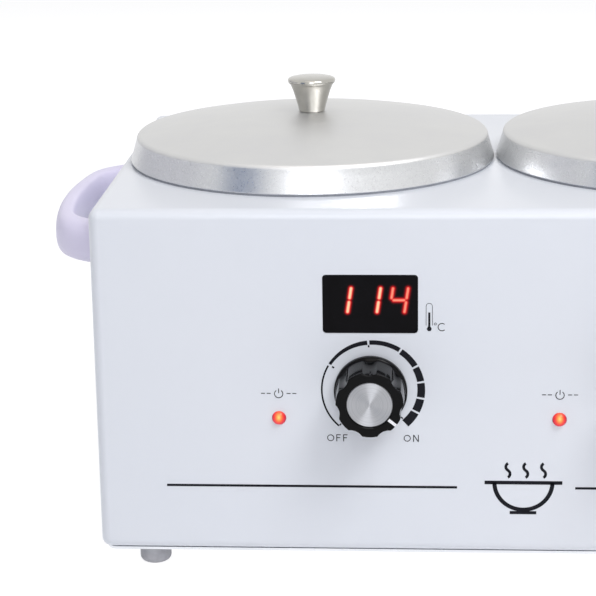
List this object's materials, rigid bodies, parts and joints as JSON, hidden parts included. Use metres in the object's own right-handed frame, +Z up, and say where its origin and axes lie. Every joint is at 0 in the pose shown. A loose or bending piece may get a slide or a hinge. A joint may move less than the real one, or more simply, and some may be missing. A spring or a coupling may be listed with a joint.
{
  "type": "twin-pot wax warmer",
  "caption": "Twin-pot wax warmer: white steel case, lift-out pots under domed lids, side handles, and a display, dial and lamp for each pot.",
  "frame": {"origin": "middle of the object's footprint, at the underside of the feet", "axes": "+X to the right across the front panel, +Y to the back, +Z up"},
  "size_m": [0.433, 0.2558, 0.2107],
  "materials": {
    "case_paint": "smooth gloss enamel",
    "base_steel": "galvanised",
    "foot_rubber": "moulded matt",
    "grip_plastic": "moulded satin",
    "lid_aluminium": "frosted anodised",
    "knob_nickel": "satin nickel plate",
    "pot_aluminium": "spun",
    "well_steel": "drawn",
    "seal_silicone": "matt",
    "screw_steel": "zinc plated",
    "band_steel": "mica band in a steel sleeve",
    "mineral_wool": "needled felt",
    "window_acrylic": "polished smoked",
    "module_plastic": "moulded",
    "dial_plastic": "polished moulding",
    "cap_aluminium": "spun disc",
    "shaft_brass": "turned",
    "can_steel": "stamped",
    "lamp_lens": "lit lens",
    "inlet_plastic": "moulded",
    "pin_brass": "plated",
    "board_laminate": "solder mask",
    "spacer_nylon": "moulded",
    "core_steel": "varnished laminations",
    "relay_plastic": "moulded",
    "block_plastic": "moulded",
    "cutout_phenolic": "moulded",
    "probe_steel": "drawn",
    "wire_blue": "extruded",
    "wire_red": "extruded"
  },
  "bodies": {
    "root": {"housing": "case_paint", "base_plate": "base_steel", "base_screws": "screw_steel", "feet": "foot_rubber", "foot_screws": "screw_steel", "handle_left": "grip_plastic", "handle_right": "grip_plastic", "handle_screws": "screw_steel", "well_left": "well_steel", "well_right": "well_steel", "gasket_left": "seal_silicone", "gasket_right": "seal_silicone", "well_clips": "well_steel", "heater_band_left": "band_steel", "heater_band_right": "band_steel", "band_clamp_screws": "screw_steel", "insulation_left": "mineral_wool", "insulation_right": "mineral_wool", "thermal_cutout_left": "cutout_phenolic", "thermal_cutout_right": "cutout_phenolic", "temp_probe_left": "probe_steel", "temp_probe_right": "probe_steel", "display_window_left": "window_acrylic", "display_window_right": "window_acrylic", "display_module_left": "module_plastic", "display_module_right": "module_plastic", "potentiometer_left": "can_steel", "potentiometer_right": "can_steel", "dial_nuts": "screw_steel", "lamp_left": "lamp_lens", "lamp_right": "lamp_lens", "lamp_grommets": "inlet_plastic", "power_inlet": "inlet_plastic", "inlet_pins": "pin_brass", "inlet_screws": "screw_steel", "control_board": "board_laminate", "board_spacers": "spacer_nylon", "board_screws": "screw_steel", "transformer": "core_steel", "relays": "relay_plastic", "terminal_block": "block_plastic", "mains_wires": "wire_blue", "heater_wires": "wire_red"},
    "pot_left": {"pot_left": "pot_aluminium"},
    "lid_left": {"lid_left": "lid_aluminium", "lid_knob_left": "knob_nickel", "lid_screw_left": "screw_steel"},
    "dial_left": {"dial_knob_left": "dial_plastic", "dial_cap_left": "cap_aluminium", "dial_shaft_left": "shaft_brass"},
    "pot_right": {"pot_right": "pot_aluminium"},
    "lid_right": {"lid_right": "lid_aluminium", "lid_knob_right": "knob_nickel", "lid_screw_right": "screw_steel"},
    "dial_right": {"dial_knob_right": "dial_plastic", "dial_cap_right": "cap_aluminium", "dial_shaft_right": "shaft_brass"}
  },
  "joints": [
    {"name": "pot_left_lift", "type": "slide", "parent": "root", "child": "pot_left", "axis": [0, 0, 1], "range_m": [0, 0.13]},
    {"name": "lid_left_lift", "type": "slide", "parent": "pot_left", "child": "lid_left", "axis": [0, 0, 1], "range_m": [0, 0.09]},
    {"name": "dial_left_turn", "type": "hinge", "parent": "root", "child": "dial_left", "pos_m": [-0.0592, -0.1069, 0.087], "axis": [0, -1, 0], "range_deg": [0, 270]},
    {"name": "pot_right_lift", "type": "slide", "parent": "root", "child": "pot_right", "axis": [0, 0, 1], "range_m": [0, 0.13]},
    {"name": "lid_right_lift", "type": "slide", "parent": "pot_right", "child": "lid_right", "axis": [0, 0, 1], "range_m": [0, 0.09]},
    {"name": "dial_right_turn", "type": "hinge", "parent": "root", "child": "dial_right", "pos_m": [0.0668, -0.1069, 0.087], "axis": [0, -1, 0], "range_deg": [0, 270]}
  ]
}
